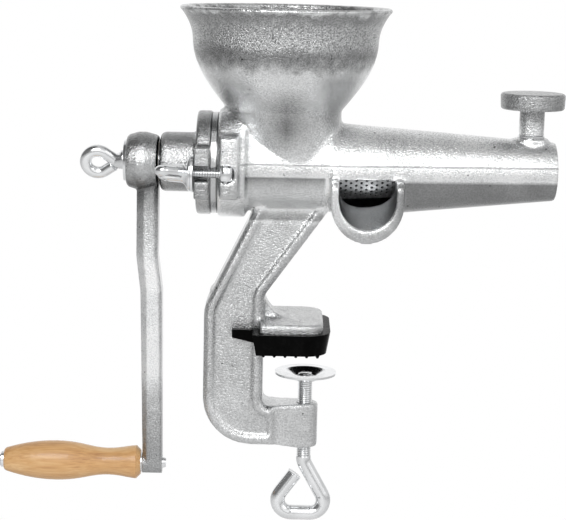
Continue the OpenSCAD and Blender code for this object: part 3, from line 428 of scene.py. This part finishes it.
def sweepRod(path, radius, flat):
    # rings square to a flat path whose plane has the normal flat; radius has one value per ring and side
    ahead = np.gradient(path, axis=0)
    ahead /= np.linalg.norm(ahead, axis=1, keepdims=True)
    side = np.cross(ahead, flat)
    side /= np.linalg.norm(side, axis=1, keepdims=True)
    up = np.cross(side, ahead)
    rings, sides = radius.shape
    turn = np.linspace(0, 2 * math.pi, sides, endpoint=False)[None, :, None]
    verts = path[:, None] + radius[..., None] * (np.cos(turn) * side[:, None] + np.sin(turn) * up[:, None])
    ring, step = np.meshgrid(np.arange(rings - 1), np.arange(sides), indexing="ij")
    corner = ring * sides + step
    beside = ring * sides + (step + 1) % sides
    quads = np.stack([corner, corner + sides, beside + sides, beside], axis=-1).reshape(-1, 4)
    first = np.arange(sides)
    caps = [first.tolist(), ((rings - 1) * sides + first[::-1]).tolist()]
    return verts.reshape(-1, 3), quads.tolist() + caps


def turnedRing(profile, centre, sides):
    # a closed profile of (radius, height) points turned about the Z axis through centre
    turn = np.linspace(0, 2 * math.pi, sides, endpoint=False)[:, None]
    radius, height = profile[None, :, 0], profile[None, :, 1]
    heights = np.repeat(height, sides, axis=0)
    verts = np.stack([radius * np.cos(turn), radius * np.sin(turn), heights], axis=-1) + centre
    count = len(profile)
    spoke, point = np.meshgrid(np.arange(sides), np.arange(count), indexing="ij")
    ahead, beside = (spoke + 1) % sides * count, (point + 1) % count
    here = spoke * count
    quads = np.stack([here + point, ahead + point, ahead + beside, here + beside], axis=-1)
    return verts.reshape(-1, 3), quads.reshape(-1, 4).tolist()


def alongX(x, y, z):
    # points along X at one height and depth
    return np.stack([x, np.full(len(x), y), np.full(len(x), z)], axis=1)


def threadCrest(along, pitch, sides, threadEnd):
    # 1 on the crest and 0 in the groove, which winds once round per pitch, up to threadEnd along the rod
    turn = np.linspace(0, 1, sides, endpoint=False)
    phase = (along[:, None] / pitch + turn[None, :]) % 1
    return np.maximum(np.abs(2 * phase - 1), along[:, None] >= threadEnd)


def bendPath(corners, bend, spacing, arcSteps=12):
    # points along a polyline in X and Z whose corners are rounded to the bend radius
    corners = np.asarray(corners, float)
    heading = np.diff(corners, axis=0)
    length = np.linalg.norm(heading, axis=1)
    heading /= length[:, None]
    turns = np.arctan2(heading[:-1, 0] * heading[1:, 1] - heading[:-1, 1] * heading[1:, 0],
                       (heading[:-1] * heading[1:]).sum(axis=1))
    trims = np.concatenate([[0], bend * np.tan(np.abs(turns) / 2), [0]])
    runs = []
    for i in range(len(heading)):
        run = np.arange(trims[i], length[i] - trims[i + 1], spacing)
        runs.append(corners[i] + run[:, None] * heading[i])
        if i < len(turns):
            hand = np.sign(turns[i])
            inward = hand * np.array([-heading[i, 1], heading[i, 0]])
            centre = corners[i + 1] - trims[i + 1] * heading[i] + bend * inward
            swing = np.linspace(0, turns[i], arcSteps, endpoint=False)[:, None]
            runs.append(centre + bend * (hand * np.sin(swing) * heading[i] - np.cos(swing) * inward))
    runs.append(corners[-1:])
    flat = np.concatenate(runs)
    return np.stack([flat[:, 0], np.zeros(len(flat)), flat[:, 1]], axis=1)


# Castings: the sharp edges of the solids are softened as sand and metal leave them

def soften(piece, cell, passes, share=1.0):
    # voxel skin of the given cell, smoothed a few times and thinned to a share of its faces
    remesh = piece.modifiers.new("skin", "REMESH")
    remesh.mode = "VOXEL"
    remesh.voxel_size = cell
    remesh.use_smooth_shade = True
    smooth = piece.modifiers.new("soften", "SMOOTH")
    smooth.factor = 0.5
    smooth.iterations = passes
    if share < 1:
        piece.modifiers.new("thin", "DECIMATE").ratio = share


def mergedShell(mesh, digits=7):
    # the triangles of a mesh with corners that agree in their digits merged, less those left with no area
    flat = np.empty(3 * len(mesh.vertices))
    mesh.vertices.foreach_get("co", flat)
    loops = np.empty(len(mesh.loops), int)
    mesh.loops.foreach_get("vertex_index", loops)
    spots, merged = np.unique(flat.reshape(-1, 3).round(digits), axis=0, return_inverse=True)
    corners = merged.reshape(-1)[loops].reshape(-1, 3)
    sound = (corners != np.roll(corners, 1, axis=1)).all(axis=1)
    return spots, corners[sound].tolist()


pressCasting = {
    "nodes": ("body_casting", "hopper"), "seam": 0.5, "cell": 0.0013, "passes": 4, "share": 0.73,
}


def makePressCasting():
    # body and hopper are one casting: their solids side by side, joined by the voxel skin
    # the body's tone carries painted shade and painted highlights by height and in places
    finish = makeTinnedCast("tinnedBody", castZones["body"], seam=pressCasting["seam"], paintShadeAndSeam=True)
    shell = joinShells([mergedShell(nodes[node].data) for node in pressCasting["nodes"]])
    piece = placePiece("pressCasting", shell, finish)
    standIn(piece, "press", "tinned_iron", *pressCasting["nodes"])
    soften(piece, pressCasting["cell"], pressCasting["passes"], pressCasting["share"])


makePressCasting()
castSkin = {"bearing_cover": (0.0008, 8), "crank_arm": (0.0007, 2), "regulator_knob": (0.0006, 4)}
for node, (cell, passes) in castSkin.items():
    soften(nodes[node], cell, passes)
print("castings softened:", len(castSkin) + 1)


# Screws, bolts and nuts

# the thread finishes paint shade into their grooves
coarseThread = makePlate("coarseThread", plateLook["zinc"], 0.17, plateLook["drawnZ"], groove=0.5)
fineThread = makePlate("fineThread", plateLook["zinc"], 0.17, plateLook["drawnX"], groove=0.1)
clampScrew = {
    "corners": [(0, -0.0170), (0, -0.078), (0.0204, -0.1146), (-0.0254, -0.1146), (-0.0057, -0.0874)],
    "bend": 0.009, "radius": 0.005, "pitch": 0.0015, "depth": 0.0009, "threadEnd": 0.0575,
    "chamfer": 0.0008, "tipShare": 0.86, "spacing": 0.0002, "sides": 32,
}


def makeClampScrew():
    # rod with a thread from the disc to the bend, then a plain triangular loop
    path = bendPath(clampScrew["corners"], clampScrew["bend"], clampScrew["spacing"])
    steps = np.linalg.norm(np.diff(path, axis=0), axis=1)
    along = np.concatenate([[0], np.cumsum(steps)])
    crest = threadCrest(along, clampScrew["pitch"], clampScrew["sides"], clampScrew["threadEnd"])
    radius = clampScrew["radius"] - clampScrew["depth"] * (1 - crest)
    radius *= np.interp(along, [0, clampScrew["chamfer"]], [clampScrew["tipShare"], 1])[:, None]
    piece = placePiece("clampScrewRod", sweepRod(path, radius, (0, 1, 0)), coarseThread, crest.ravel())
    standIn(piece, "clamp_screw", "zinc_steel", "clamp_screw")


swingBolt = {
    "start": -0.0921, "end": -0.0572, "y": 0.042, "z": 0.1207,
    "radius": 0.003, "pitch": 0.001, "depth": 0.0006, "spacing": 0.00012, "sides": 24,
    "pinX": -0.054, "eyeRadius": 0.0046, "eyeHole": 0.00225, "eyeHalf": 0.0043, "eyeEdge": 0.0004,
    "eyeSides": 40,
}


def makeSwingBolt(name, node, body, side):
    # threaded rod along X and a flat eye, a ring with bevelled edges, round the pivot pin
    y, z = side * swingBolt["y"], swingBolt["z"]
    along = np.arange(0, swingBolt["end"] - swingBolt["start"], swingBolt["spacing"])
    crest = threadCrest(along, swingBolt["pitch"], swingBolt["sides"], along[-1])
    radius = swingBolt["radius"] - swingBolt["depth"] * (1 - crest)
    rod = sweepRod(alongX(swingBolt["start"] + along, y, z), radius, (0, 1, 0))
    outer, hole, half, edge = (swingBolt[key] for key in ("eyeRadius", "eyeHole", "eyeHalf", "eyeEdge"))
    rim = np.array([(hole, -half), (outer - edge, -half), (outer, edge - half),
                    (outer, half - edge), (outer - edge, half), (hole, half)])
    eye = turnedRing(rim, np.array([swingBolt["pinX"], y, z]), swingBolt["eyeSides"])
    heights = np.concatenate([crest.ravel(), np.ones(len(eye[0]))])
    piece = placePiece(name, joinShells([rod, eye]), fineThread, heights)
    standIn(piece, body, "zinc_steel", node)


crankEye = {
    "neckX": -0.1255, "axisZ": 0.1228, "loop": 0.0079, "wire": 0.0040, "reach": 0.0135, "tilt": 20.0,
    "backTrim": 0.0042, "drop": 0.0012, "neckDrop": (0.8, 0.7, 0.3), "wireSides": 24, "shankSides": 32,
    "leadSteps": 16, "loopSteps": 72, "tailSteps": 14,
    "stations": [(-0.1290, 0.0030), (-0.1278, 0.0046), (-0.1236, 0.0056), (-0.1228, 0.0068),
                 (-0.1216, 0.0070), (-0.1215, 0.0040), (-0.0970, 0.0040)],
}


def makeCrankBolt():
    # shank and neck along X, and a wire that runs once round the eye and stops short of the neck again:
    # a straight tangent from the neck, the arc of the loop and the tangent back, in a plane tilted about X
    loop, reach, axisZ, drop = (crankEye[key] for key in ("loop", "reach", "axisZ", "drop"))
    half = math.acos(loop / reach)
    neck = np.array([reach, 0.0])
    out = loop * np.array([math.cos(half), math.sin(half)])
    back = out * (1, -1)
    tailEnd = 1 - crankEye["backTrim"] / (reach * math.sin(half))
    lead = np.linspace(0, 1, crankEye["leadSteps"], endpoint=False)[:, None]
    swing = np.linspace(half, 2 * math.pi - half, crankEye["loopSteps"])
    tail = np.linspace(0, tailEnd, crankEye["tailSteps"])[1:, None]
    arc = loop * np.stack([np.cos(swing), np.sin(swing)], axis=1)
    flat = np.concatenate([neck + lead * (out - neck), arc, back + tail * (neck - back)])
    tilt = math.radians(crankEye["tilt"])
    path = np.stack([flat[:, 0] + crankEye["neckX"] - reach, -flat[:, 1] * math.sin(tilt),
                     flat[:, 1] * math.cos(tilt) + axisZ - drop], axis=1)
    wireRadius = np.full((len(path), crankEye["wireSides"]), crankEye["wire"])
    wire = sweepRod(path, wireRadius, (0, math.cos(tilt), math.sin(tilt)))
    stations = np.array(crankEye["stations"])
    axis = alongX(stations[:, 0], 0.0, axisZ)
    axis[:len(crankEye["neckDrop"]), 2] -= drop * np.array(crankEye["neckDrop"])
    shank = sweepRod(axis, np.repeat(stations[:, 1:], crankEye["shankSides"], axis=1), (0, 1, 0))
    piece = placePiece("crankEyeBolt", joinShells([wire, shank]), finishes["zinc_steel"])
    standIn(piece, "crank_bolt", "zinc_steel", "crank_bolt")


wingNut = {
    "y": 0.042, "z": 0.1207, "turn": 13.0, "root": (-0.0815, 0.0015), "tip": (-0.0924, 0.0112),
    "halfHeight": 0.0040, "halfWidth": 0.0056, "capAngle": 84.0,
    "hubSides": 40, "wingSides": 32, "rings": 12, "cell": 0.0005, "passes": 5,
    "stations": [(-0.0758, 0.0114), (-0.0766, 0.0117), (-0.0778, 0.0106), (-0.0790, 0.0082),
                 (-0.0802, 0.0066), (-0.0820, 0.0060), (-0.0900, 0.0054), (-0.0930, 0.0040)],
}


def makeWingNut(name, node, body, side):
    # domed collar and hub turned along X, and two oval wings with round tips that spread from the hub
    stations = np.array(wingNut["stations"])
    hubRadius = np.repeat(stations[:, 1:], wingNut["hubSides"], axis=1)
    shells = [sweepRod(alongX(stations[:, 0], 0.0, 0.0), hubRadius, (0, 1, 0))]
    theta = np.linspace(0, 2 * math.pi, wingNut["wingSides"], endpoint=False)
    oval = 1 / np.hypot(np.cos(theta) / wingNut["halfWidth"], np.sin(theta) / wingNut["halfHeight"])
    cap = np.linspace(0, math.radians(wingNut["capAngle"]), wingNut["rings"])[:, None]
    share = np.linspace(0, 1, wingNut["rings"], endpoint=False)[:, None]
    shrink = np.concatenate([np.ones_like(share), np.cos(cap)])
    for wing in (-1, 1):
        root = np.array([*wingNut["root"], 0]) * (1, wing, 1)
        tip = np.array([*wingNut["tip"], 0]) * (1, wing, 1)
        heading = (tip - root) / np.linalg.norm(tip - root)
        roundTip = tip + wingNut["halfWidth"] * np.sin(cap) * heading
        path = np.concatenate([root + share * (tip - root), roundTip])
        shells.append(sweepRod(path, shrink * oval, (0, 0, 1)))
    verts, faces = joinShells(shells)
    turn = math.radians(-wingNut["turn"])
    roll = np.array([[1, 0, 0], [0, math.cos(turn), -math.sin(turn)], [0, math.sin(turn), math.cos(turn)]])
    verts = verts @ roll.T + np.array([0, side * wingNut["y"], wingNut["z"]])
    piece = placePiece(name, (verts, faces), finishes["zinc_steel"])
    standIn(piece, body, "zinc_steel", node)
    soften(piece, wingNut["cell"], wingNut["passes"])


makeCrankBolt()
makeWingNut("frontWingNut", "front_wing_nut", "front_nut", -1)
makeWingNut("rearWingNut", "rear_wing_nut", "rear_nut", 1)
makeClampScrew()
makeSwingBolt("frontSwingBolt", "front_swing_bolt", "front_bolt", -1)
makeSwingBolt("rearSwingBolt", "rear_swing_bolt", "rear_bolt", 1)
print("screws, bolts and nuts made")


# Studio: pale floor, bright horizon, soft lamps

studio = {
    "floorZ": -0.5, "floorSize": 60.0, "floorColour": (0.9, 0.9, 0.9), "whiteFrom": 0.40, "whiteTo": 0.50,
    "skyHeight": [(0.0, 1.0), (0.45, 0.95), (0.7, 0.64), (1.0, 0.58)],
    "skyAround": [(-180, 1.0), (-163, 1.0), (-143, 0.18), (-80, 0.15), (-62, 0.2), (-48, 1.0), (22, 1.0),
                  (45, 0.62), (90, 0.66), (135, 0.85), (158, 1.0), (180, 1.0)],
    "keyLamp": {"place": (-0.5, -1.5, 1.1), "target": (0, -0.3, -0.2), "size": 1.0, "power": 16.0},
    "fillLamp": {"place": (1.3, -0.9, 0.7), "target": (0, 0, 0.1), "size": 0.9, "power": 2.5},
}


def makeFloor():
    # a square floor; round the press it takes light and shadow, behind it widens into the white background
    half, z = studio["floorSize"] / 2, studio["floorZ"]
    mesh = bpy.data.meshes.new("floor")
    corners = [(-half, -half, z), (half, -half, z), (half, half, z), (-half, half, z)]
    mesh.from_pydata(corners, [], [(0, 1, 2, 3)])
    paint, tree, shader = newFinish("floorPaint", Base_Color=(*studio["floorColour"], 1), Roughness=0.9)
    x, y, _ = axesOf(tree, "Object")
    behind = mathOf(tree, "SUBTRACT", y, mathOf(tree, "ABSOLUTE", x))
    share = remap(tree, behind, 0, 1, studio["whiteFrom"], studio["whiteTo"])
    light = addNode(tree, "ShaderNodeLightPath")
    seen = light.outputs["Is Camera Ray"]
    for ray in ("Is Glossy Ray", "Is Transmission Ray"):
        seen = mathOf(tree, "MAXIMUM", seen, light.outputs[ray])
    white = addNode(tree, "ShaderNodeEmission", Color=(1, 1, 1, 1), Strength=1.0)
    mix = addNode(tree, "ShaderNodeMixShader")
    tree.links.new(mathOf(tree, "MULTIPLY", share, seen), mix.inputs["Fac"])
    tree.links.new(shader.outputs["BSDF"], mix.inputs[1])
    tree.links.new(white.outputs["Emission"], mix.inputs[2])
    tree.links.new(mix.outputs["Shader"], tree.nodes["Material Output"].inputs["Surface"])
    mesh.materials.append(paint)
    addObject("floor", mesh)


def makeSky():
    # light by height times light around: white near the horizon in front and behind, dim to the left
    world = bpy.data.worlds.new("studioRoom")
    bpy.context.scene.world = world
    world.use_nodes = True
    tree = world.node_tree
    x, y, z = axesOf(tree, "Generated")
    height = spanRamp(tree, z, greyStops(studio["skyHeight"]))
    angle = mathOf(tree, "ARCTAN2", x, y)  # 0 behind the press, minus to its left
    stops = [(math.radians(degrees), level) for degrees, level in studio["skyAround"]]
    around = spanRamp(tree, angle, greyStops(stops))
    sky = addNode(tree, "ShaderNodeVectorMath", operation="MULTIPLY")
    tree.links.new(height, sky.inputs[0])
    tree.links.new(around, sky.inputs[1])
    tree.links.new(sky.outputs["Vector"], tree.nodes["Background"].inputs["Color"])


def standAt(thing, right, up, back, place):
    # a lamp or camera at a place, by its three own axes
    turn = np.eye(4)
    turn[:3] = np.stack([right, up, back, place], axis=1)
    thing.matrix_world = Matrix(turn.tolist())


def addLamp(name, place, target, size, power):
    # a square area lamp turned to a target
    lamp = bpy.data.lights.new(name, "AREA")
    lamp.size = size
    lamp.energy = power
    back = np.subtract(place, target)
    back /= np.linalg.norm(back)
    right = np.cross((0, 0, 1), back)
    right /= np.linalg.norm(right)
    standAt(addObject(name, lamp), right, np.cross(back, right), back, place)


makeFloor()
makeSky()
for name in ("keyLamp", "fillLamp"):
    addLamp(name, **studio[name])
print("studio built")


# Camera

shot = {
    "target": (-0.0167, 0.0, 0.059), "distance": 1.100, "pitch": 10.3, "roll": 1.3,
    "lens": 106.0, "sensor": 36.0,
}


def makeCamera():
    # looks along +Y, pitched down, with a slight roll of the picture
    pitch, roll = math.radians(shot["pitch"]), math.radians(shot["roll"])
    ahead = np.array([0, math.cos(pitch), -math.sin(pitch)])
    level = np.array([1.0, 0, 0])
    right = math.cos(roll) * level + math.sin(roll) * np.cross(level, ahead)
    lens = bpy.data.cameras.new("shot")
    lens.lens = shot["lens"]
    lens.sensor_width = shot["sensor"]
    camera = addObject("shot", lens)
    standAt(camera, right, np.cross(right, ahead), -ahead, shot["target"] - shot["distance"] * ahead)
    bpy.context.scene.camera = camera


makeCamera()
bpy.context.scene.view_settings.view_transform = "Standard"
print("camera set")
